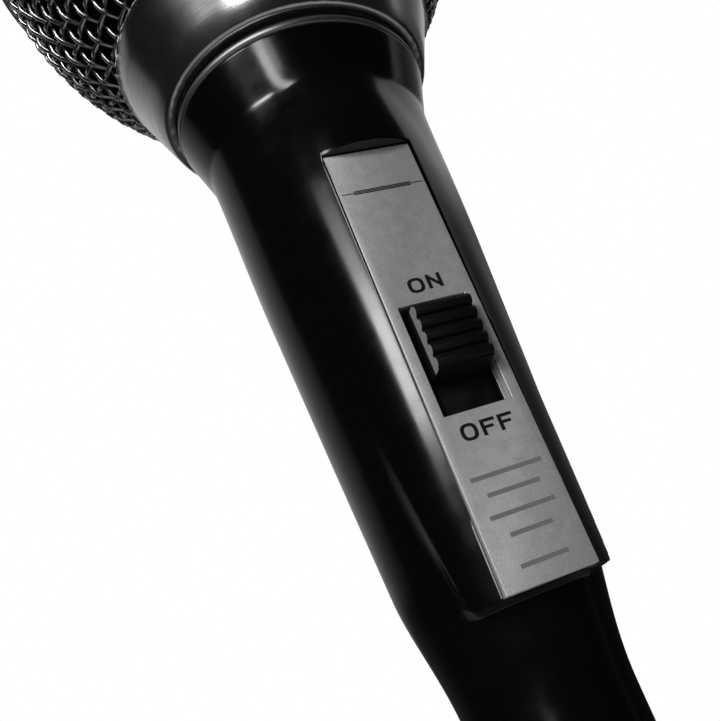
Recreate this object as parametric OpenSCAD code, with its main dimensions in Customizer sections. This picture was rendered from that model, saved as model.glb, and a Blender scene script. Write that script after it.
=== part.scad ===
// Hand-held dynamic microphone with a ball grille, a conical collar and a slide switch.
// The axis is Z, with the grille at +Z and the cord outlet at -Z. The switch faces -Y.
// The origin is on the axis, in the straight grip that a stand clip holds, near its upper end.

/* [Handle] */
// Radius of the straight grip stretch
grip_r = 8; // [7.5:0.1:8.4]
// Height of the tail end face
tail_z = -28; // [-40:1:-26]
// Height where the straight grip ends
grip_top_z = 12; // [8:1:14]
// Height where the blend from the grip into the cone ends
cone_z = 27; // [25:1:29]
// Radius of the cone at the bottom end of the switch plate
cone_r = 9.9; // [9.6:0.1:10.2]
// Growth in radius per millimetre of the cone
cone_slope = 0.056; // [0.05:0.002:0.06]
// Height of the crease below the neck flare
crease_z = 75.5; // [74:0.5:77]
// Radius of the neck lip
lip_r = 14.2; // [14:0.05:14.3]
// Height of the neck lip
lip_z = 81.6; // [81:0.1:82]
// Radius of the threaded spigot that carries the head
spigot_r = 12.5; // [12.3:0.1:12.6]

/* [Switch] */
// Width of the switch plate
plate_w = 8.8; // [8.4:0.1:9]
// Length of the switch plate
plate_l = 44.4; // [42:0.2:46]
// Height of the bottom edge of the switch plate
plate_z = 22; // [21.5:0.5:22.5]
// Distance from the axis to the front face of the switch plate
plate_y = 12.48; // [12.4:0.01:12.6]
// Thickness of the switch plate
plate_t = 1; // [0.8:0.1:1]
// Width of the window in the plate
window_w = 6.64; // [6.4:0.02:6.8]
// Length of the window in the plate
window_l = 11.15; // [11:0.05:11.3]
// Length of the slider knob
knob_l = 6.45; // [6.2:0.05:6.5]
// Number of grip ridges on the knob
ridge_count = 5; // [3:1:5]
// Travel of the slider from ON to OFF
travel = 3.4; // [3:0.1:3.4]

/* [Head] */
// Radius of the ball grille
ball_r = 27.6; // [27.4:0.1:27.8]
// Height of the centre of the ball grille
ball_z = 112; // [111.8:0.1:112.2]
// Radius of the lower edge of the collar
collar_r = 15.28; // [15.1:0.02:15.4]
// Radius of the upper edge of the collar
collar_top_r = 18.4; // [18.3:0.05:18.6]
// Height of the upper edge of the collar
collar_top_z = 91.3; // [91.2:0.1:91.4]
// Thickness of the woven grille
mesh_t = 0.9; // [0.8:0.1:1]

/* [Cord outlet] */
// Radius of the bore that the cord passes through
cord_bore_r = 2.6; // [2.4:0.1:2.8]

/* [Hidden] */
$fn = 64;
eps = 0.01;

// Handle
end_chamfer = 0.6;
blend_steps = 10;
bore_r = 6.3;
bore_top_z = 14;
cavity_r = 8.2;
neck_bore_r = 10.9;
neck_bore_z = 75;
spigot_top_r = 12.2;
spigot_top_z = 90.5;
thread_top_z = 87.3;
cap_seat_r = 6.9;
cap_t = 2.5;

// Cord outlet and clamp
gland_neck_r = 4;
gland_flange_r = 5;
gland_out = 1.6;
gland_in = 1.5;
saddle_r = 6.1;
saddle_z = [-22, -14];
clamp_z = [-21, -15];
clamp_screw_x = 3.9;
clamp_screw_r = 0.7;
clamp_head_r = 0.95;
clamp_front_y = 3;

// Rounded keel along the front of the handle, which the switch plate is let into
keel_y = 4.9;
keel_r = 8.2;
keel_top_r = 9.15;
keel_z = plate_z - 0.3;
pocket_gap = 0.1;

// Slide switch
window_z = plate_z + 15.97 + window_l / 2;
back_y = plate_y - plate_t;
flange_t = 0.5;
flange_w = 8;
flange_l = 26.8;
case_w = 7.4;
case_l = 19.1;
case_wall = 0.45;
case_back_y = 6.3;
slot_w = 6.1;
slot_l = 10.88;
knob_w = 5.5;
knob_top_y = 14.2;
ridge_r = 0.5;
knob_z = window_z - slot_l / 2 + 0.145 + travel + knob_l / 2;
carriage_w = 6.4;
carriage_l = 14.5;
carriage_top_y = back_y - flange_t - 0.15;
carriage_back_y = 8.6;
carriage_z = window_z + case_l / 2 - case_wall - 0.2 - carriage_l / 2;
contact_t = 0.4;
contact_gap = 0.1;
board_y = 7.6;
board_t = 1;
head_top_y = carriage_back_y - contact_t - contact_gap;
tail_y = 3.8;
terminal_pitch = 4;
screw_pitch = 22.6;
switch_screw_r = 0.8;
ball_bore_r = 0.65;
detent_r = 0.6;
detent_x = 2.6;

// Capsule
carrier_r = 12.2;
carrier_t = 1.5;
mount_z = spigot_top_z + carrier_t;
capsule_r = 11.8;
capsule_z = 95.5;
capsule_neck_r = 7.5;
rim_z = 105.6;
felt_z = 96.7;
yoke_z = 97.9;
yoke_r = 9.2;
pole_r = 6.2;
gap_z = 103;
pole_t = 1.6;
coil_r = 6.9;
coil_z = 101.6;
dome_r = 7.1;
dome_z = 105.35;
dome_h = 2;
film_t = 0.15;
cap_z = 108.4;
lead_r = 0.45;

// Head
ring_bottom_z = 83.3;
ring_top_z = 89.1;
ring_r = 14;
thread_gap = 0.05;
collar_z = 83.1;
mesh_seat_z = 89.2;
band_h = 4;
band_r = 28;

// Radius of the handle's outside between the grip and the crease
function cone_at(z) = cone_r + (z - 25) * cone_slope;
function ease(t) = t * t * (3 - 2 * t);
function blend_at(z) = let (t = (z - grip_top_z) / (cone_z - grip_top_z))
    grip_r + (cone_at(z) - grip_r) * ease(t);

module ring(r_out, r_in, z0, z1) {
    translate([0, 0, z0])
        difference() {
            cylinder(r = r_out, h = z1 - z0);
            translate([0, 0, -1]) cylinder(r = r_in, h = z1 - z0 + 2);
        }
}

module disc(r, z0, z1) {
    translate([0, 0, z0]) cylinder(r = r, h = z1 - z0);
}

// A block given by its half width in X, its near and far distance from the axis towards -Y, and its heights
module front_block(half_w, y_near, y_far, z0, z1) {
    translate([-half_w, -y_far, z0]) cube([2 * half_w, y_far - y_near, z1 - z0]);
}

// A cylinder along Y, given by its distances from the axis towards -Y
module front_pin(r, y_near, y_far, x, z) {
    translate([x, -y_near, z]) rotate([90, 0, 0]) cylinder(r = r, h = y_far - y_near);
}

// ---- Handle ----

module handle_outside() {
    rotate_extrude()
        polygon(concat(
            [[0, tail_z], [grip_r - end_chamfer, tail_z], [grip_r, tail_z + end_chamfer]],
            [for (i = [0:blend_steps])
                let (z = grip_top_z + (cone_z - grip_top_z) * i / blend_steps) [blend_at(z), z]],
            [[cone_at(crease_z), crease_z], [lip_r - 0.15, lip_z - 1.6], [lip_r, lip_z]],
            [[spigot_r, lip_z], [spigot_r, thread_top_z], [spigot_top_r, thread_top_z]],
            [[spigot_top_r, spigot_top_z], [0, spigot_top_z]]
        ));
}

module handle_inside() {
    rotate_extrude()
        polygon([
            [0, tail_z - 1], [cap_seat_r, tail_z - 1], [cap_seat_r, tail_z + cap_t],
            [bore_r, tail_z + cap_t], [bore_r, bore_top_z], [cavity_r, cone_z],
            [neck_bore_r, neck_bore_z], [neck_bore_r, spigot_top_z + 1], [0, spigot_top_z + 1]
        ]);
}

// The keel is a slim cone set off the axis, so that its flanks melt into the handle
module keel() {
    translate([0, -keel_y, keel_z])
        cylinder(r1 = keel_r, r2 = keel_top_r, h = lip_z - keel_z);
}

module handle_shell() {
    half_case = case_l / 2 + 0.1;
    half_flange = flange_l / 2 + 0.1;
    color("#151515")
        difference() {
            union() {
                handle_outside();
                keel();
            }
            handle_inside();
            front_block(plate_w / 2 + pocket_gap, back_y, 20, 0, plate_z + plate_l + 0.15);
            front_block(flange_w / 2 + 0.1, back_y - flange_t, 20,
                window_z - half_flange, window_z + half_flange);
            front_block(case_w / 2 + 0.1, 0, 20, window_z - half_case, window_z + half_case);
            for (side = [-1, 1])
                front_pin(switch_screw_r, 8.9, 20, 0, window_z + side * screw_pitch / 2);
            translate([0, 4, tail_z + cap_t / 2]) rotate([-90, 0, 0]) cylinder(r = 0.9, h = 6);
        }
}

module neck_ring() {
    bead_r = 0.5;
    color("#d0d0d0")
        rotate_extrude()
            union() {
                translate([spigot_r + 0.05, lip_z])
                    square([lip_r - bead_r - spigot_r - 0.05, 2 * bead_r]);
                translate([lip_r - bead_r, lip_z + bead_r]) circle(r = bead_r);
            }
}

// ---- Tail and cord outlet ----

module end_cap() {
    color("#1c1c1c")
        difference() {
            union() {
                disc(cap_seat_r - 0.05, tail_z, tail_z + cap_t);
                intersection() {
                    disc(saddle_r, tail_z + cap_t - eps, saddle_z[1]);
                    union() {
                        translate([-2.5, 5.1, tail_z]) cube([5, 3, saddle_z[1] - tail_z]);
                        translate([-8, 0.2, saddle_z[0]]) cube([16, 8, saddle_z[1] - saddle_z[0]]);
                    }
                }
            }
            disc(gland_neck_r, tail_z - 1, tail_z + cap_t + eps);
            disc(cord_bore_r, tail_z - 1, saddle_z[1] + 1);
            translate([0, 4, tail_z + cap_t / 2]) rotate([-90, 0, 0]) cylinder(r = 0.9, h = 6);
            for (side = [-1, 1])
                front_pin(clamp_screw_r, -3.6, 6, side * clamp_screw_x, (clamp_z[0] + clamp_z[1]) / 2);
        }
}

module cap_screw() {
    color("#8c8c8c")
        translate([0, 5, tail_z + cap_t / 2])
            rotate([-90, 0, 0])
                difference() {
                    cylinder(r = 0.9, h = 2.85);
                    translate([0, 0, 1.9]) cylinder(r = 0.5, h = 2, $fn = 6);
                }
}

module cable_gland() {
    edge_r = 0.7;
    color("#202020")
        rotate_extrude()
            difference() {
                union() {
                    translate([0, tail_z - gland_out + edge_r])
                        square([gland_flange_r, gland_out - edge_r]);
                    translate([0, tail_z - gland_out]) square([gland_flange_r - edge_r, gland_out]);
                    translate([gland_flange_r - edge_r, tail_z - gland_out + edge_r])
                        circle(r = edge_r);
                    translate([0, tail_z]) square([gland_neck_r, cap_t + gland_in]);
                    translate([0, tail_z + cap_t]) square([gland_flange_r, gland_in]);
                }
                translate([-cord_bore_r, tail_z - 5]) square([2 * cord_bore_r, 20]);
            }
}

module cable_clamp() {
    color("#b0b0b0")
        difference() {
            intersection() {
                disc(saddle_r, clamp_z[0], clamp_z[1]);
                front_block(8, 0.2, clamp_front_y, clamp_z[0], clamp_z[1]);
            }
            disc(cord_bore_r, clamp_z[0] - 1, clamp_z[1] + 1);
            for (side = [-1, 1])
                front_pin(clamp_screw_r, -1, 6, side * clamp_screw_x, (clamp_z[0] + clamp_z[1]) / 2);
        }
}

module clamp_screws() {
    z = (clamp_z[0] + clamp_z[1]) / 2;
    color("#9a9a9a")
        for (side = [-1, 1])
            difference() {
                union() {
                    front_pin(clamp_screw_r, -3.5, clamp_front_y, side * clamp_screw_x, z);
                    front_pin(clamp_head_r, clamp_front_y, clamp_front_y + 0.6, side * clamp_screw_x, z);
                }
                translate([side * clamp_screw_x - 0.1, -clamp_front_y - 1, z - 2])
                    cube([0.2, 0.7, 4]);
            }
}

// ---- Slide switch ----

module switch_plate() {
    color("#a9a9a7")
        difference() {
            front_block(plate_w / 2, back_y, plate_y, plate_z, plate_z + plate_l);
            front_block(window_w / 2, 0, 20, window_z - window_l / 2, window_z + window_l / 2);
        }
}

module switch_frame() {
    color("#b8b8b8")
        difference() {
            union() {
                front_block(flange_w / 2, back_y - flange_t, back_y,
                    window_z - flange_l / 2, window_z + flange_l / 2);
                front_block(case_w / 2, case_back_y, back_y,
                    window_z - case_l / 2, window_z + case_l / 2);
            }
            front_block(case_w / 2 - case_wall, 0, back_y - flange_t,
                window_z - case_l / 2 + case_wall, window_z + case_l / 2 - case_wall);
            front_block(slot_w / 2, 0, 20, window_z - slot_l / 2, window_z + slot_l / 2);
            for (side = [-1, 1])
                front_pin(switch_screw_r, 0, 20, 0, window_z + side * screw_pitch / 2);
        }
}

module switch_screws() {
    color("#c0c0c0")
        for (side = [-1, 1])
            front_pin(switch_screw_r, 8.95, back_y, 0, window_z + side * screw_pitch / 2);
}

module switch_base() {
    half_w = case_w / 2 - case_wall - 0.05;
    half_l = case_l / 2 - case_wall - 0.05;
    color("#1e1a18")
        difference() {
            front_block(half_w, board_y - board_t, board_y, window_z - half_l, window_z + half_l);
            for (i = [-1:1])
                front_block(0.7, 0, 20, window_z + i * terminal_pitch - 0.25,
                    window_z + i * terminal_pitch + 0.25);
        }
}

module switch_terminals() {
    color("#c9a24a")
        for (i = [-1:1]) {
            z = window_z + i * terminal_pitch;
            front_block(1, board_y, head_top_y, z - 0.8, z + 0.8);
            front_block(0.7, tail_y, board_y, z - 0.25, z + 0.25);
        }
}

module slider_knob() {
    pitch = knob_l / ridge_count;
    low_z = knob_z - knob_l / 2;
    color("#181818")
        difference() {
            union() {
                front_block(carriage_w / 2, carriage_back_y, carriage_top_y,
                    carriage_z - carriage_l / 2, carriage_z + carriage_l / 2);
                front_block(knob_w / 2, carriage_back_y, knob_top_y, low_z, low_z + knob_l);
                for (i = [0:ridge_count - 1])
                    translate([-knob_w / 2, -knob_top_y, low_z + pitch * (i + 0.5)])
                        rotate([0, 90, 0]) cylinder(r = ridge_r, h = knob_w);
            }
            translate([-10, -9.6, carriage_z])
                rotate([0, 90, 0]) cylinder(r = ball_bore_r, h = 20);
        }
}

module slider_contact() {
    color("#c9a24a")
        front_block(1.6, carriage_back_y - contact_t, carriage_back_y,
            carriage_z - 3, carriage_z + 3);
}

module detent_balls() {
    color("#c8c8c8")
        for (side = [-1, 1])
            translate([side * detent_x, -9.6, carriage_z]) sphere(r = detent_r);
}

module detent_spring() {
    color("#9a9a9a")
        translate([-detent_x + detent_r, -9.6, carriage_z])
            rotate([0, 90, 0])
                difference() {
                    cylinder(r = 0.55, h = 2 * (detent_x - detent_r));
                    translate([0, 0, -1]) cylinder(r = 0.35, h = 10);
                }
}

// ---- Capsule ----

module capsule_carrier() {
    color("#4a4a4a")
        difference() {
            union() {
                disc(neck_bore_r - 0.05, spigot_top_z - 3.5, spigot_top_z);
                disc(carrier_r, spigot_top_z, mount_z + 2);
            }
            disc(6, 0, 200);
            disc(11.15, mount_z, mount_z + 3);
        }
}

module shock_mount() {
    color("#2a2a2a") ring(11.1, capsule_neck_r + 0.02, mount_z, capsule_z);
}

module capsule_basket() {
    color("#6e6e6e")
        difference() {
            union() {
                disc(capsule_r, capsule_z, rim_z);
                disc(capsule_neck_r, mount_z + 0.3, capsule_z);
            }
            disc(10.8, felt_z, rim_z + 1);
            disc(2.6, mount_z, felt_z + 1);
            disc(5.9, mount_z, capsule_z - 0.7);
        }
}

module damping_felt() {
    color("#d8d2c2") ring(10.7, 2.8, felt_z, yoke_z);
}

module terminal_board() {
    color("#7a4a22")
        difference() {
            disc(5.85, mount_z + 1.5, mount_z + 2.3);
            for (side = [-1, 1])
                translate([side * 2.5 - 0.2, -0.6, mount_z]) cube([0.4, 1.2, 5]);
        }
}

module capsule_terminals() {
    color("#c9a24a")
        for (side = [-1, 1])
            translate([side * 2.5 - 0.2, -0.6, mount_z - 0.4]) cube([0.4, 1.2, 3]);
}

module wire(points) {
    for (i = [0:len(points) - 2]) {
        a = points[i];
        b = points[i + 1];
        d = b - a;
        l = norm(d);
        translate(a)
            rotate([0, acos(d[2] / l), atan2(d[1], d[0])])
                cylinder(r = lead_r, h = l);
        translate(b) sphere(r = lead_r + 0.06);
    }
}

module capsule_leads() {
    upper_z = window_z + terminal_pitch;
    lower_z = window_z - terminal_pitch;
    top_z = mount_z - 0.45;
    end_y = tail_y - lead_r - 0.12;
    color("#a03028")
        wire([[2.5, 0, top_z], [2.5, 0, 84], [1.2, -1, 60], [0, -end_y, upper_z]]);
    color("#3050a0")
        wire([[-2.5, 0, top_z], [-2.5, 0, 84], [-2, -0.6, 60], [-1.6, -1, 44],
            [0, -end_y, lower_z]]);
}

module yoke_cup() {
    color("#8f8f8f")
        difference() {
            disc(yoke_r, yoke_z, gap_z);
            disc(8, yoke_z + 1.5, gap_z + 1);
        }
}

module magnet() {
    color("#3c3c3c") disc(pole_r, yoke_z + 1.5, gap_z);
}

module pole_piece() {
    color("#a0a0a0") disc(pole_r, gap_z, gap_z + pole_t);
}

module front_plate() {
    color("#a0a0a0") ring(10.75, 7.2, gap_z, gap_z + pole_t);
}

module voice_coil() {
    color("#b5713a") ring(coil_r, coil_r - 0.4, coil_z, dome_z - film_t);
}

module diaphragm_dome() {
    sphere_r = (dome_r * dome_r + dome_h * dome_h) / (2 * dome_h);
    color("#c8c4a8") {
        intersection() {
            translate([0, 0, dome_z + dome_h - sphere_r])
                difference() {
                    sphere(r = sphere_r);
                    sphere(r = sphere_r - film_t);
                }
            disc(20, dome_z, dome_z + dome_h + 1);
        }
        ring(dome_r, coil_r - 0.6, dome_z - film_t, dome_z);
    }
}

module diaphragm_surround() {
    color("#c8c4a8") {
        ring(10.4, dome_r + 0.15, dome_z, dome_z + film_t);
        ring(10.75, 10.2, gap_z + pole_t, rim_z - 0.05);
    }
}

// The front cover of the capsule, with rings of sound holes
module capsule_cap() {
    hole_r = 0.9;
    color("#b0b0b0") {
        difference() {
            disc(capsule_r, cap_z, cap_z + 1);
            disc(hole_r, cap_z - 1, cap_z + 2);
            for (row = [1:3], i = [0:6 * row - 1])
                rotate([0, 0, i * 60 / row])
                    translate([row * 3, 0, cap_z - 1]) cylinder(r = hole_r, h = 3);
        }
        ring(capsule_r, 10.9, rim_z, cap_z);
    }
}

// ---- Head: collar and ball grille ----

module sealing_ring() {
    color("#1a1a1a") ring(13.7, spigot_r + 0.12, 82.7, ring_bottom_z);
}

module thread_ring() {
    color("#a8a8a8") ring(ring_r, spigot_r + thread_gap, ring_bottom_z, ring_top_z);
}

module collar() {
    color("#b4b4b2")
        difference() {
            rotate_extrude()
                polygon([
                    [ring_r, collar_z], [collar_r - 0.3, collar_z], [collar_r, collar_z + 0.3],
                    [collar_top_r, collar_top_z], [ring_r, collar_top_z]
                ]);
            translate([0, 0, ball_z]) sphere(r = ball_r + 0.02);
        }
}

// A shell of the ball grille between two heights
module ball_shell(r_out, r_in, z0, z1) {
    intersection() {
        translate([0, 0, ball_z])
            difference() {
                sphere(r = r_out);
                sphere(r = r_in);
            }
        disc(40, z0, z1);
    }
}

module grille_lower() {
    color("#c8c8c8") ball_shell(ball_r, ball_r - mesh_t, mesh_seat_z, ball_z - band_h / 2);
}

module grille_upper() {
    color("#c8c8c8") ball_shell(ball_r, ball_r - mesh_t, ball_z + band_h / 2, ball_z + 40);
}

module grille_band() {
    color("#d0d0d0") ring(band_r, 26.4, ball_z - band_h / 2, ball_z + band_h / 2);
}

module foam_liner() {
    color("#303030") ball_shell(26.2, 23.2, 92.5, ball_z + 40);
}

handle_shell();
neck_ring();
end_cap();
cap_screw();
cable_gland();
cable_clamp();
clamp_screws();
switch_plate();
switch_frame();
switch_screws();
switch_base();
switch_terminals();
slider_knob();
slider_contact();
detent_balls();
detent_spring();
capsule_carrier();
shock_mount();
capsule_basket();
damping_felt();
terminal_board();
capsule_terminals();
capsule_leads();
yoke_cup();
magnet();
pole_piece();
front_plate();
voice_coil();
diaphragm_dome();
diaphragm_surround();
capsule_cap();
sealing_ring();
thread_ring();
collar();
grille_lower();
grille_band();
grille_upper();
foam_liner();
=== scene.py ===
import math

import bmesh
import bpy
from mathutils import Matrix, Vector, noise as cloud


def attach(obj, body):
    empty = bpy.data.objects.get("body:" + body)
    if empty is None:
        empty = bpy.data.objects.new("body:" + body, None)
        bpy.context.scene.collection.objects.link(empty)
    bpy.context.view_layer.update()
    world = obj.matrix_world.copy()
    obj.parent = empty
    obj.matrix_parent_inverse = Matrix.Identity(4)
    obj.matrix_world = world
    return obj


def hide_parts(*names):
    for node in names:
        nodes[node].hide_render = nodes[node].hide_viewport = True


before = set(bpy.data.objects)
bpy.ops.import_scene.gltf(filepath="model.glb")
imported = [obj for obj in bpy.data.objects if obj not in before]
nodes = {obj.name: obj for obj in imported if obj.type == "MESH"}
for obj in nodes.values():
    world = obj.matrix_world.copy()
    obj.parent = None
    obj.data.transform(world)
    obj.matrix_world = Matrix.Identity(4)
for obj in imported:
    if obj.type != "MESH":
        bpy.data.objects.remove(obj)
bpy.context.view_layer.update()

MM = 0.001


# ---------------------------------------------------------------- camera
LENS = 45.284
SHIFT_X, SHIFT_Y = -0.16454, 0.03869
CAMERA_AT = (-29.028, -81.936, 14.404)
# World to camera, as a rotation vector with x right, y down and z forward
CAMERA_TURN = Vector((1.14474108, -0.49853284, -0.0109058))


def make_camera():
    data = bpy.data.cameras.new("camera")
    cam = bpy.data.objects.new("camera", data)
    bpy.context.scene.collection.objects.link(cam)
    bpy.context.scene.camera = cam
    data.sensor_width = 36.0
    data.lens = LENS
    data.shift_x = SHIFT_X
    data.shift_y = SHIFT_Y
    data.dof.use_dof = False
    data.clip_start = 0.005
    data.clip_end = 20
    to_cam = Matrix.Rotation(CAMERA_TURN.length, 3, CAMERA_TURN.normalized())
    flip = Matrix(((1, 0, 0), (0, -1, 0), (0, 0, -1)))
    cam.rotation_mode = "QUATERNION"
    cam.rotation_quaternion = (to_cam.transposed() @ flip).to_quaternion()
    cam.location = [c * MM for c in CAMERA_AT]


make_camera()


# ---------------------------------------------------------------- materials
def new_material(name):
    mat = bpy.data.materials.new(name)
    mat.use_nodes = True
    tree = mat.node_tree
    return mat, tree, tree.nodes["Principled BSDF"]


def noise(tree, scale, detail=6.0, rough=0.6, stretch=(1, 1, 1)):
    co = tree.nodes.new("ShaderNodeTexCoord")
    mp = tree.nodes.new("ShaderNodeMapping")
    mp.inputs["Scale"].default_value = [scale * s for s in stretch]
    tex = tree.nodes.new("ShaderNodeTexNoise")
    tex.inputs["Scale"].default_value = 1.0
    tex.inputs["Detail"].default_value = detail
    tex.inputs["Roughness"].default_value = rough
    tree.links.new(co.outputs["Object"], mp.inputs["Vector"])
    tree.links.new(mp.outputs["Vector"], tex.inputs["Vector"])
    return tex.outputs["Fac"]


def ramp(tree, fac, low, high, out_low, out_high):
    node = tree.nodes.new("ShaderNodeMapRange")
    node.inputs["From Min"].default_value = low
    node.inputs["From Max"].default_value = high
    node.inputs["To Min"].default_value = out_low
    node.inputs["To Max"].default_value = out_high
    tree.links.new(fac, node.inputs["Value"])
    return node.outputs["Result"]


def mix_colour(tree, fac, a, b):
    node = tree.nodes.new("ShaderNodeMix")
    node.data_type = "RGBA"
    node.inputs[6].default_value = (*a, 1)
    node.inputs[7].default_value = (*b, 1)
    tree.links.new(fac, node.inputs[0])
    return node.outputs[2]


def combine(tree, operation, a, b):
    node = tree.nodes.new("ShaderNodeMath")
    node.operation = operation
    tree.links.new(a, node.inputs[0])
    tree.links.new(b, node.inputs[1])
    return node.outputs[0]


def bump(tree, height, strength, distance):
    node = tree.nodes.new("ShaderNodeBump")
    node.inputs["Strength"].default_value = strength
    node.inputs["Distance"].default_value = distance
    tree.links.new(height, node.inputs["Height"])
    return node.outputs["Normal"]


GRAIN_SPAN = (0.3, 0.7)


def grainy(name, dark, light, rough, metal=0.0, scale=1500.0, spread=0.08, relief=0.1,
           stretch=(1, 1, 1), depth=2e-5, shine=0.5):
    mat, tree, bsdf = new_material(name)
    fine = noise(tree, scale, stretch=stretch)
    shade = mix_colour(tree, ramp(tree, fine, *GRAIN_SPAN, 0, 1), dark, light)
    tree.links.new(shade, bsdf.inputs["Base Color"])
    coarse = noise(tree, scale / 6)
    tree.links.new(ramp(tree, coarse, *GRAIN_SPAN, rough - spread, rough + spread),
                   bsdf.inputs["Roughness"])
    tree.links.new(bump(tree, fine, relief, depth), bsdf.inputs["Normal"])
    bsdf.inputs["Metallic"].default_value = metal
    bsdf.inputs["Specular IOR Level"].default_value = shine
    return mat


def grey(v):
    return (v, v, v * 0.985)


enamel = grainy("black_enamel", grey(0.0015), grey(0.003), 0.16, scale=2500, relief=0.03, spread=0.03)
steel_ring = grainy("bright_ring", grey(0.3), grey(0.44), 0.38, metal=1.0, scale=700,
                    stretch=(0.25, 0.25, 9), relief=0.2)
collar_metal = grainy("satin_collar", grey(0.44), grey(0.62), 0.2, metal=1.0, scale=700,
                      stretch=(0.25, 0.25, 9), relief=0.22, spread=0.05)
plate_metal = grainy("plate_metal", grey(0.6), grey(0.82), 0.5, metal=0.5, scale=5200, relief=0.4)

# Where the knob's sides begin across, and how far back they are painted pale as a painted highlight, in
# metres
KNOB_PAINTED_HIGHLIGHT_X = (0.00269, 0.00274)
KNOB_PAINTED_HIGHLIGHT_Y = (-0.0133, -0.0131)


def make_knob():
    """Black ribbed top; the outer part of its sides is painted pale grey, a painted highlight for the
    lit side faces.
    """
    mat, tree, bsdf = new_material("knob_black_painted_highlight")
    co = tree.nodes.new("ShaderNodeTexCoord")
    split = tree.nodes.new("ShaderNodeSeparateXYZ")
    tree.links.new(co.outputs["Object"], split.inputs[0])
    off = tree.nodes.new("ShaderNodeMath")
    off.operation = "ABSOLUTE"
    tree.links.new(split.outputs["X"], off.inputs[0])
    # Painted highlight mask: 1 on the knob's sides, only in their outer part towards the front
    side = combine(tree, "MULTIPLY", ramp(tree, off.outputs[0], *KNOB_PAINTED_HIGHLIGHT_X, 0, 1),
                   ramp(tree, split.outputs["Y"], *KNOB_PAINTED_HIGHLIGHT_Y, 1, 0))
    fine = noise(tree, 3000)
    # Black top, and a pale grey painted highlight where the mask is 1
    shade = tree.nodes.new("ShaderNodeMix")
    shade.data_type = "RGBA"
    shade.inputs[6].default_value = (*grey(0.004), 1)
    tree.links.new(mix_colour(tree, fine, grey(0.2), grey(0.36)), shade.inputs[7])
    tree.links.new(side, shade.inputs[0])
    tree.links.new(shade.outputs[2], bsdf.inputs["Base Color"])
    tree.links.new(bump(tree, fine, 0.2, 2e-5), bsdf.inputs["Normal"])
    bsdf.inputs["Roughness"].default_value = 0.55
    bsdf.inputs["Specular IOR Level"].default_value = 0.18
    return mat


knob_black_painted_highlight = make_knob()
ink = grainy("ink", grey(0.01), grey(0.02), 0.8, scale=6000, relief=0.1, shine=0.1)
faint_ink = grainy("faint_ink", grey(0.2), grey(0.28), 0.8, scale=6000, relief=0.1, shine=0.1)
wire_metal = grainy("grille_wire", grey(0.3), grey(0.46), 0.24, metal=1.0, scale=1800, relief=0.1)
band_metal = grainy("band_metal", grey(0.5), grey(0.62), 0.3, metal=1.0, scale=900,
                    stretch=(0.3, 0.3, 8), relief=0.15)
zinc = grainy("zinc", grey(0.4), grey(0.52), 0.4, metal=1.0)
rubber = grainy("rubber", grey(0.012), grey(0.022), 0.7, scale=2500, relief=0.2)
plastic = grainy("black_plastic", grey(0.012), grey(0.02), 0.5, scale=2500)
foam_mat = grainy("foam", grey(0.002), grey(0.008), 0.95, scale=2600, relief=0.9, depth=2e-4, shine=0.03)
board = grainy("board", (0.14, 0.07, 0.03), (0.2, 0.1, 0.045), 0.6)
brass = grainy("brass", (0.6, 0.42, 0.16), (0.7, 0.5, 0.2), 0.35, metal=1.0)
copper = grainy("copper", (0.5, 0.2, 0.09), (0.62, 0.27, 0.12), 0.35, metal=1.0, stretch=(1, 1, 12))
felt = grainy("felt", (0.6, 0.57, 0.5), (0.72, 0.69, 0.6), 0.95, relief=0.6)
film = grainy("film", (0.5, 0.48, 0.36), (0.6, 0.57, 0.44), 0.2)
sleeve = grainy("wire_sleeve", (0.3, 0.03, 0.02), (0.38, 0.05, 0.03), 0.5)
ferrite = grainy("ferrite", grey(0.03), grey(0.05), 0.6)
white_floor = grainy("floor", grey(0.86), grey(0.9), 0.9, scale=40, relief=0.0, shine=0.2)

LOOKS = {
    "handle_shell": enamel, "neck_ring": steel_ring, "end_cap": plastic, "cap_screw": zinc,
    "cable_gland": rubber, "cable_clamp": zinc, "clamp_screws": zinc, "switch_plate": plate_metal,
    "switch_frame": steel_ring, "switch_screws": zinc, "switch_base": board, "switch_terminals": brass,
    "slider_knob": knob_black_painted_highlight, "slider_contact": brass, "detent_balls": steel_ring,
    "detent_spring": zinc, "capsule_carrier": plastic, "shock_mount": rubber, "capsule_basket": zinc,
    "damping_felt": felt, "terminal_board": board, "capsule_terminals": brass, "capsule_leads": sleeve,
    "yoke_cup": zinc, "magnet": ferrite, "pole_piece": zinc, "front_plate": zinc, "voice_coil": copper,
    "diaphragm_dome": film, "diaphragm_surround": film, "capsule_cap": zinc, "sealing_ring": rubber,
    "thread_ring": zinc, "collar": collar_metal, "grille_lower": wire_metal, "grille_band": band_metal,
    "grille_upper": wire_metal, "foam_liner": foam_mat,
}
for name, mat in LOOKS.items():
    data = nodes[name].data
    data.materials.clear()
    data.materials.append(mat)


def soften(name, width, degrees=40):
    """Rounds the edges of a CAD node, as modifiers on its own mesh."""
    obj = nodes[name]
    weld = obj.modifiers.new("weld", "WELD")
    weld.merge_threshold = 1e-6
    bev = obj.modifiers.new("bevel", "BEVEL")
    bev.width = width * MM
    bev.segments = 2
    bev.limit_method = "ANGLE"
    bev.angle_limit = math.radians(degrees)
    bev.harden_normals = True
    obj.data.shade_smooth()


SOFTENED = {
    "neck_ring": 0.15, "end_cap": 0.2, "cable_gland": 0.2, "switch_plate": 0.07, "switch_frame": 0.05,
    "slider_knob": 0.06, "collar": 0.12, "grille_band": 0.2, "cap_screw": 0.08,
}
for name, width in SOFTENED.items():
    soften(name, width)


# ---------------------------------------------------------------- small helpers
def mesh_object(name, verts, faces, mat, body, smooth=True):
    mesh = bpy.data.meshes.new(name)
    mesh.from_pydata(verts, [], faces)
    mesh.validate()
    obj = bpy.data.objects.new(name, mesh)
    bpy.context.scene.collection.objects.link(obj)
    mesh.materials.append(mat)
    if smooth:
        mesh.shade_smooth()
    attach(obj, body)
    return obj


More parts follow.
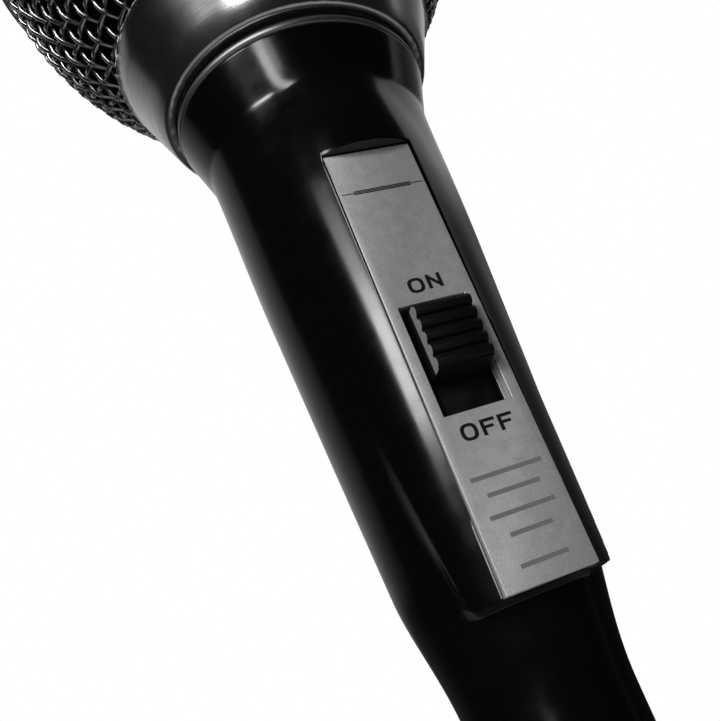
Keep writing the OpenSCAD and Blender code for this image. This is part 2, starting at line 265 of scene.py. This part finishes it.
def sharpen(mesh, degrees=35):
    """Smooth shading, broken at the edges that are sharper than the angle."""
    bm = bmesh.new()
    bm.from_mesh(mesh)
    for f in bm.faces:
        f.smooth = True
    for e in bm.edges:
        e.smooth = len(e.link_faces) == 2 and e.calc_face_angle() < math.radians(degrees)
    bm.to_mesh(mesh)
    bm.free()


def apply_modifiers(obj):
    deps = bpy.context.evaluated_depsgraph_get()
    mesh = bpy.data.meshes.new_from_object(obj.evaluated_get(deps))
    obj.modifiers.clear()
    obj.data = mesh


def cutter(name, low, high):
    """A box from its lowest and highest corner, in millimetres, used only to cut and then removed."""
    x0, y0, z0 = low
    x1, y1, z1 = high
    verts = [Vector((x, y, z)) * MM for x in (x0, x1) for y in (y0, y1) for z in (z0, z1)]
    faces = [(0, 1, 3, 2), (4, 6, 7, 5), (0, 4, 5, 1), (2, 3, 7, 6), (0, 2, 6, 4), (1, 5, 7, 3)]
    mesh = bpy.data.meshes.new(name)
    mesh.from_pydata(verts, [], faces)
    obj = bpy.data.objects.new(name, mesh)
    bpy.context.scene.collection.objects.link(obj)
    return obj


def cut(obj, boxes):
    for box in boxes:
        mod = obj.modifiers.new("cut", "BOOLEAN")
        mod.operation = "DIFFERENCE"
        mod.solver = "EXACT"
        mod.object = box
    apply_modifiers(obj)
    for box in boxes:
        bpy.data.objects.remove(box)


# ---------------------------------------------------------------- handle
GRIP_R, GRIP_TOP, CONE_TOP = 8.0, 12.0, 27.0
CREASE_Z, LIP_Z, LIP_R = 76.0, 81.6, 14.2
KEEL_Y, KEEL_Z, KEEL_R, KEEL_TOP_R = 4.9, 21.7, 8.2, 9.15
TAIL_Z, TAIL_R = -28.0, 7.4
CONE_R, CONE_Z, CONE_SLOPE = 9.9, 25, 0.056
# The cone is drawn in a little below the crease, and the neck flares out above it
RECESS, RECESS_Z, RECESS_LENGTH = 0.3, 58, 17
FLARE_SLOPE, CREASE_EASE = 0.31, 0.003
# The keel rises at once in the middle and slowly at its lower corners
KEEL_START, CORNER_FADE, CORNER_X, CORNER_W = 0.3, 22.0, 5.1, 3.6
BEHIND_X = 12
# The keel sinks towards the lip, and its fillet tightens
SINK, SINK_Z, SINK_LENGTH = 1.3, 64.0, 17.6
FILLET, FILLET_LOSS, FILLET_Z, FILLET_LENGTH = 0.9, 0.72, 67.0, 8.0
LIP_LIMIT_Z = 79
# Inside of the handle, as radius and height
SPIGOT_R, THREAD_TOP, SPIGOT_TOP_R, SPIGOT_TOP = 12.5, 87.3, 12.2, 90.5
NECK_BORE_R, NECK_BORE_Z, CAVITY_R = 10.9, 75, 8.2
BORE_R, BORE_TOP, CAP_SEAT_R, CAP_SEAT_Z = 6.3, 14, 6.9, -25.5
# Steps of the handle's mesh: from, to and step in height, and round the handle
ROW_STEPS = ((-27.4, 12, 6), (12, 21, 1), (21, 23, 0.1), (23, 27, 0.25), (27, 73, 1.2),
             (73, 78, 0.25), (78, 80.8, 0.4), (80.8, 81.3, 0.1))
LAST_ROW = 81.3
FRONT, FRONT_STEP, BACK_STEP = math.radians(62), 0.02, 0.06


def smooth_step(t):
    t = max(0.0, min(1.0, t))
    return t * t * (3 - 2 * t)


def cone_at(z):
    return CONE_R + (z - CONE_Z) * CONE_SLOPE - RECESS * smooth_step((z - RECESS_Z) / RECESS_LENGTH)


def body_at(z):
    """Radius of the round handle, with the crease under the neck flare slightly eased."""
    if z < CONE_TOP:
        return GRIP_R + (cone_at(z) - GRIP_R) * smooth_step((z - GRIP_TOP) / (CONE_TOP - GRIP_TOP))
    flare = cone_at(CREASE_Z) + FLARE_SLOPE * (z - CREASE_Z)
    a, b = cone_at(z), flare
    r = 0.5 * (a + b + math.sqrt((a - b) ** 2 + CREASE_EASE))
    return min(r, LIP_R - 0.02)


def keel_at(z, a):
    rho = KEEL_R + (KEEL_TOP_R - KEEL_R) * (z - KEEL_Z) / (LIP_Z - KEEL_Z)
    return KEEL_Y * math.cos(a) + math.sqrt(rho * rho - (KEEL_Y * math.sin(a)) ** 2)


def handle_at(z, a):
    """Radius of the handle at height z and angle a from the switch side, its keel melted in."""
    body = body_at(z)
    x = abs(body * math.sin(a)) if abs(a) < math.pi / 2 else BEHIND_X
    corner = smooth_step((x - CORNER_X) / CORNER_W)
    t = smooth_step((z - KEEL_Z) / (KEEL_START + CORNER_FADE * corner))
    if t == 0.0:
        return body
    keel = keel_at(max(z, KEEL_Z), a) - SINK * smooth_step((z - SINK_Z) / SINK_LENGTH)
    fillet = FILLET - FILLET_LOSS * smooth_step((z - FILLET_Z) / FILLET_LENGTH)
    both = 0.5 * (body + keel + math.sqrt((body - keel) ** 2 + fillet))
    both = min(both, LIP_R) if z > LIP_LIMIT_Z else both
    return body + (both - body) * t


def spaced(low, high, step):
    n = max(1, round((high - low) / step))
    return [low + (high - low) * i / n for i in range(n)]


def build_handle():
    angles = (spaced(-math.pi, -FRONT, BACK_STEP) + spaced(-FRONT, FRONT, FRONT_STEP)
              + spaced(FRONT, math.pi, BACK_STEP))
    rows = [z for low, high, step in ROW_STEPS for z in spaced(low, high, step)] + [LAST_ROW]
    outside = [[(TAIL_R, TAIL_Z)] * len(angles)]
    outside += [[(handle_at(z, a), z) for a in angles] for z in rows]
    rims = [(LIP_R - 0.12, 81.5), (LIP_R - 0.4, LIP_Z), (SPIGOT_R, LIP_Z), (SPIGOT_R, THREAD_TOP),
            (SPIGOT_TOP_R, THREAD_TOP), (SPIGOT_TOP_R, SPIGOT_TOP), (NECK_BORE_R, SPIGOT_TOP),
            (NECK_BORE_R, NECK_BORE_Z), (CAVITY_R, CONE_TOP), (BORE_R, BORE_TOP), (BORE_R, CAP_SEAT_Z),
            (CAP_SEAT_R, CAP_SEAT_Z), (CAP_SEAT_R, TAIL_Z)]
    outside += [[p] * len(angles) for p in rims]
    n = len(angles)
    verts = [Vector((r * math.sin(a), -r * math.cos(a), z)) * MM
             for row in outside for (r, z), a in zip(row, angles)]
    faces = []
    for k in range(len(outside)):
        nxt = (k + 1) % len(outside)
        for i in range(n):
            j = (i + 1) % n
            faces.append((k * n + i, k * n + j, nxt * n + j, nxt * n + i))
    obj = mesh_object("handle_body", verts, faces, enamel, "handle")
    cut(obj, [cutter("plate_recess", (-4.52, -20, 10), (4.62, -11.48, 66.56)),
              cutter("frame_recess", (-4.1, -20, 30.0), (4.1, -10.98, 57.1)),
              cutter("switch_opening", (-3.8, -20, 33.85), (3.8, 0, 53.25))])
    bev = obj.modifiers.new("bevel", "BEVEL")
    bev.width = 0.09 * MM
    bev.segments = 2
    bev.limit_method = "ANGLE"
    bev.angle_limit = math.radians(50)
    apply_modifiers(obj)
    sharpen(obj.data, 40)
    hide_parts("handle_shell")


build_handle()


# ---------------------------------------------------------------- marks on the switch plate
MARK_Y = -12.488
PEN = 0.36
ROUND_POINTS, ROUND_POWER = 40, 0.75


def mark_o(x, z, w, h, pen):
    """A rounded O: two rings of points, joined."""
    rings = []
    for half_w, half_h in ((w / 2, h / 2), (w / 2 - pen, h / 2 - 0.8 * pen)):
        ring = []
        for i in range(ROUND_POINTS):
            a = 2 * math.pi * i / ROUND_POINTS
            c, d = math.cos(a), math.sin(a)
            ring.append((x + half_w * math.copysign(abs(c) ** ROUND_POWER, c),
                         z + half_h * math.copysign(abs(d) ** ROUND_POWER, d)))
        rings.append(ring)
    quads = []
    for i in range(ROUND_POINTS):
        j = (i + 1) % ROUND_POINTS
        quads.append((rings[0][i], rings[0][j], rings[1][j], rings[1][i]))
    return quads


def bar(x0, z0, x1, z1):
    return [((x0, z0), (x1, z0), (x1, z1), (x0, z1))]


def mark_n(x, z, w, h, pen):
    l, r, b, t = x - w / 2, x + w / 2, z - h / 2, z + h / 2
    drop = h * pen / w
    slant = [((l + pen, t - drop + 0.65 * pen), (l + pen, t - drop - 0.65 * pen),
              (r - pen, b + drop - 0.65 * pen), (r - pen, b + drop + 0.65 * pen))]
    return bar(l, b, l + pen, t) + bar(r - pen, b, r, t) + slant


def mark_f(x, z, w, h, pen):
    l, r, b, t = x - w / 2, x + w / 2, z - h / 2, z + h / 2
    top = bar(l + pen, t - 0.85 * pen, r, t)
    middle = bar(l + pen, z - 0.4 * pen, r - 0.25, z + 0.4 * pen)
    return bar(l, b, l + pen, t) + top + middle


def draw_marks(name, quads, mat):
    verts, faces = [], []
    for quad in quads:
        faces.append(tuple(range(len(verts), len(verts) + 4)))
        verts += [Vector((x, MARK_Y, z)) * MM for x, z in quad]
    return mesh_object(name, verts, faces, mat, "handle", smooth=False)


def build_marks():
    """The two switch positions, and plain rules where a maker would print its own lines."""
    on = mark_o(-0.82, 50.9, 1.6, 1.56, PEN) + mark_n(1.02, 50.98, 1.45, 1.5, PEN)
    off = mark_o(-1.72, 36.06, 1.6, 1.6, PEN)
    off += mark_f(0.16, 36.06, 1.42, 1.52, PEN) + mark_f(1.86, 36.06, 1.42, 1.52, PEN)
    head_rule = (bar(-4.1, 61.79, 4.1, 61.89) + bar(-2.9, 61.93, 2.9, 62.05)
                 + bar(-2.9, 61.63, 2.9, 61.75))
    draw_marks("switch_marks", on + off + head_rule, ink)
    rules = []
    # Half the length and the height of each rule
    for half, z in ((3.4, 31.9), (2.5, 30.25), (3.1, 28.34), (2.0, 26.54), (2.25, 23.82)):
        rules += bar(-half, z - 0.2, half, z + 0.2)
    draw_marks("plate_rules", rules, faint_ink)


build_marks()


# ---------------------------------------------------------------- woven grille
BALL_Z = 112.0
BALL_R = 27.6
WIRE_R = 0.29
CRIMP = 0.3
PITCH = 1.98
SHEET_R = BALL_R - WIRE_R - CRIMP
NET_SIZE = 26
WIRE_SIDES, WIRE_PARTS = 6, 4


def woven_net(pole, turn):
    """Crossings of a square net laid on the unit sphere from a pole, every wire kept in length."""
    step = PITCH / SHEET_R
    ax = Vector((math.cos(turn), math.sin(turn), 0))
    ay = Vector((-math.sin(turn), math.cos(turn), 0))
    start = Vector((0, 0, pole))
    net = {}
    for i in range(-NET_SIZE, NET_SIZE + 1):
        net[i, 0] = start * math.cos(i * step) + ax * math.sin(i * step)
        net[0, i] = start * math.cos(i * step) + ay * math.sin(i * step)
    for sx in (1, -1):
        for sy in (1, -1):
            for i in range(1, NET_SIZE + 1):
                for j in range(1, NET_SIZE + 1):
                    a = net.get((sx * (i - 1), sy * j))
                    b = net.get((sx * i, sy * (j - 1)))
                    o = net.get((sx * (i - 1), sy * (j - 1)))
                    if a is None or b is None or o is None:
                        continue
                    n = a.cross(b)
                    if n.length < 0.2 * step:
                        continue
                    n.normalize()
                    net[sx * i, sy * j] = o - 2 * o.dot(n) * n
    return net


def wire_tube(points, verts, faces):
    """Adds a round tube through the points, in millimetres."""
    base = len(verts)
    for k, p in enumerate(points):
        d = (points[min(k + 1, len(points) - 1)] - points[max(k - 1, 0)]).normalized()
        out = (p - Vector((0, 0, BALL_Z))).normalized()
        side = d.cross(out).normalized()
        up = side.cross(d)
        for s in range(WIRE_SIDES):
            a = 2 * math.pi * s / WIRE_SIDES
            verts.append((p + (side * math.cos(a) + up * math.sin(a)) * WIRE_R) * MM)
    for k in range(len(points) - 1):
        for s in range(WIRE_SIDES):
            q = base + k * WIRE_SIDES
            t = (s + 1) % WIRE_SIDES
            faces.append((q + s, q + WIRE_SIDES + s, q + WIRE_SIDES + t, q + t))
    faces.append(tuple(base + s for s in range(WIRE_SIDES)))
    last = base + (len(points) - 1) * WIRE_SIDES
    faces.append(tuple(last + s for s in reversed(range(WIRE_SIDES))))


def on_sheet(p, k):
    """A point on the ball's middle sheet, moved out or in by the crimp of the wire."""
    return Vector((0, 0, BALL_Z)) + p.normalized() * (SHEET_R + CRIMP * k)


def draw_run(run, verts, faces):
    points = []
    for (a, over_a), (b, _) in zip(run, run[1:]):
        for s in range(WIRE_PARTS):
            t = s / WIRE_PARTS
            points.append(on_sheet(a * (1 - t) + b * t, over_a * math.cos(math.pi * t)))
    points.append(on_sheet(*run[-1]))
    wire_tube(points, verts, faces)


def woven_half(name, pole, turn, low, high):
    """One half of the ball: the wires of both families, cut off outside the two heights."""
    net = woven_net(pole, turn)
    verts, faces = [], []
    for family in (0, 1):
        for line in range(-NET_SIZE, NET_SIZE + 1):
            run = []
            for i in range(-NET_SIZE, NET_SIZE + 1):
                p = net.get((i, line) if family == 0 else (line, i))
                inside = p is not None and low <= BALL_Z + SHEET_R * p.z <= high
                over = 1 if (i + line) % 2 == family else -1
                if inside:
                    run.append((p, over))
                if (not inside or i == NET_SIZE) and run:
                    if len(run) > 1:
                        draw_run(run, verts, faces)
                    run = []
    return mesh_object(name, verts, faces, wire_metal, "head")


lower = woven_half("woven_lower", -1, math.radians(15), 89.6, 110.6)
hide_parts("grille_lower")
upper = woven_half("woven_upper", 1, math.radians(24), 113.4, 140)
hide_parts("grille_upper")


# ---------------------------------------------------------------- foam lining
FOAM_R, FOAM_IN, FOAM_LOW = 26.15, 23.3, 92.5
FOAM_ROWS, FOAM_COLS, INNER_ROWS = 190, 380, 40
PORES, PORE_DEPTH, PORE_EDGE = 34, 0.32, 2.2
GRAIN, GRAIN_DEPTH, SKIN = 60, 0.07, 0.05


def toward(polar, a):
    return Vector((math.sin(polar) * math.cos(a), math.sin(polar) * math.sin(a), math.cos(polar)))


def build_foam():
    """An open-cell foam shell: pores pressed into its outer skin, a plain inside, open at the neck."""
    centre = Vector((0, 0, BALL_Z))
    lowest = math.acos((FOAM_LOW - BALL_Z) / FOAM_R)
    verts, faces = [Vector((0, 0, BALL_Z + FOAM_R)) * MM], []
    for k in range(1, FOAM_ROWS + 1):
        for i in range(FOAM_COLS):
            d = toward(lowest * k / FOAM_ROWS, 2 * math.pi * i / FOAM_COLS)
            wall = cloud.voronoi(d * PORES)[0][0]
            depth = PORE_DEPTH * max(0.0, 1 - PORE_EDGE * wall) + GRAIN_DEPTH * cloud.noise(d * GRAIN)
            verts.append((d * (FOAM_R - SKIN - max(0.0, depth)) + centre) * MM)
    for k in range(INNER_ROWS, 0, -1):
        polar = math.acos((FOAM_LOW - BALL_Z) / FOAM_IN) * k / INNER_ROWS
        for i in range(FOAM_COLS):
            verts.append((toward(polar, 2 * math.pi * i / FOAM_COLS) * FOAM_IN + centre) * MM)
    verts.append(Vector((0, 0, BALL_Z + FOAM_IN)) * MM)
    last = len(verts) - 1
    for i in range(FOAM_COLS):
        j = (i + 1) % FOAM_COLS
        faces.append((0, 1 + i, 1 + j))
        for k in range(FOAM_ROWS + INNER_ROWS - 1):
            a, b = 1 + k * FOAM_COLS, 1 + (k + 1) * FOAM_COLS
            faces.append((a + i, b + i, b + j, a + j))
        faces.append((last - FOAM_COLS + i, last, last - FOAM_COLS + j))
    foam = mesh_object("foam_lining", verts, faces, foam_mat, "head")
    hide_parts("foam_liner")


build_foam()


# ---------------------------------------------------------------- floor and light
FLOOR_R, FLOOR_Z = 0.13, -30.5
ROOM = 0.012
BACKDROP_TURN = 0.344
# Each is a range of direction, then the brightness or the factor at its two ends
LEFT_WALL, LEFT_RISE, LEFT_FADE = (0.15, 0.8, 0.06, 0.4), (0.3, 0.45, 1.0, 1.4), (0.0, 0.4, 1.0, 0.25)
RIGHT_WALL, RIGHT_FADE = (0.2, 0.42, 0.42, 0.08), (0.0, 0.4, 0.0, 1.0)
HIGH_WALL = (0.44, 0.53, 0.0, 0.5)
WALL_EDGE, WALL_FOOT = (0.185, 0.215, 0, 1), (0.0, 0.2, 0.12, 1.0)
CEILING = (0.75, 0.9, ROOM, 0.1)


def make_floor():
    bpy.ops.mesh.primitive_circle_add(vertices=96, radius=FLOOR_R, fill_type="NGON",
                                      location=(0, 0, FLOOR_Z * MM))
    floor = bpy.context.object
    floor.name = "floor"
    floor.data.materials.append(white_floor)


def area_light(name, at, look, width, height, power):
    data = bpy.data.lights.new(name, "AREA")
    data.shape = "RECTANGLE"
    data.size = width
    data.size_y = height
    data.energy = power
    obj = bpy.data.objects.new(name, data)
    bpy.context.scene.collection.objects.link(obj)
    obj.location = at
    obj.rotation_euler = (Vector(look) - Vector(at)).to_track_quat("-Z", "Y").to_euler()


def make_world():
    """What the object reflects: a pale backdrop to its left and right, a dim ceiling, a dark room.

    The camera itself sees plain white.
    """
    world = bpy.data.worlds.new("world")
    bpy.context.scene.world = world
    world.use_nodes = True
    tree = world.node_tree
    back = tree.nodes["Background"]
    path = tree.nodes.new("ShaderNodeLightPath")
    co = tree.nodes.new("ShaderNodeTexCoord")
    split = tree.nodes.new("ShaderNodeSeparateXYZ")
    tree.links.new(co.outputs["Generated"], split.inputs[0])
    across = tree.nodes.new("ShaderNodeMath")
    across.operation = "MULTIPLY_ADD"
    across.inputs[1].default_value = BACKDROP_TURN
    tree.links.new(split.outputs["X"], across.inputs[0])
    tree.links.new(split.outputs["Y"], across.inputs[2])
    x, z, turned = split.outputs["X"], split.outputs["Z"], across.outputs[0]
    left = combine(tree, "MULTIPLY", ramp(tree, turned, *LEFT_WALL), ramp(tree, z, *LEFT_RISE))
    left = combine(tree, "MULTIPLY", left, ramp(tree, x, *LEFT_FADE))
    right = combine(tree, "MULTIPLY", ramp(tree, turned, *RIGHT_WALL), ramp(tree, x, *RIGHT_FADE))
    high = combine(tree, "MULTIPLY", ramp(tree, z, *HIGH_WALL), ramp(tree, x, *RIGHT_FADE))
    right = combine(tree, "MAXIMUM", right, high)
    backdrop = combine(tree, "MULTIPLY", combine(tree, "MAXIMUM", left, right),
                       ramp(tree, turned, *WALL_EDGE))
    backdrop = combine(tree, "MULTIPLY", backdrop, ramp(tree, z, *WALL_FOOT))
    room = combine(tree, "MAXIMUM", backdrop, ramp(tree, z, *CEILING))
    mix = tree.nodes.new("ShaderNodeMix")
    mix.data_type = "FLOAT"
    tree.links.new(path.outputs["Is Camera Ray"], mix.inputs[0])
    tree.links.new(room, mix.inputs[2])
    mix.inputs[3].default_value = 1.0
    back.inputs["Color"].default_value = (1, 1, 1, 1)
    tree.links.new(mix.outputs[0], back.inputs["Strength"])


make_floor()
make_world()


def from_angles(azimuth, elevation, distance):
    a, e = math.radians(azimuth), math.radians(elevation)
    return Vector((math.sin(a) * math.cos(e), -math.cos(a) * math.cos(e), math.sin(e))) * distance


AIM = Vector((0, 0, 0.05))
LIGHT_DISTANCE = 1.5
# Azimuth, elevation, width, height and power
LIGHTS = {
    "key": (-51, 19.8, 0.42, 0.25, 5.6),
    "key_top": (-54, 27, 0.42, 0.2, 1.0),
    "strip": (-32, 21.5, 0.18, 0.71, 4.2),
    "low_key": (-29, 4.5, 0.36, 0.22, 2.5),
}
for name, (azimuth, elevation, width, height, power) in LIGHTS.items():
    area_light(name, AIM + from_angles(azimuth, elevation, LIGHT_DISTANCE), AIM, width, height, power)
bpy.context.scene.view_settings.view_transform = "Standard"
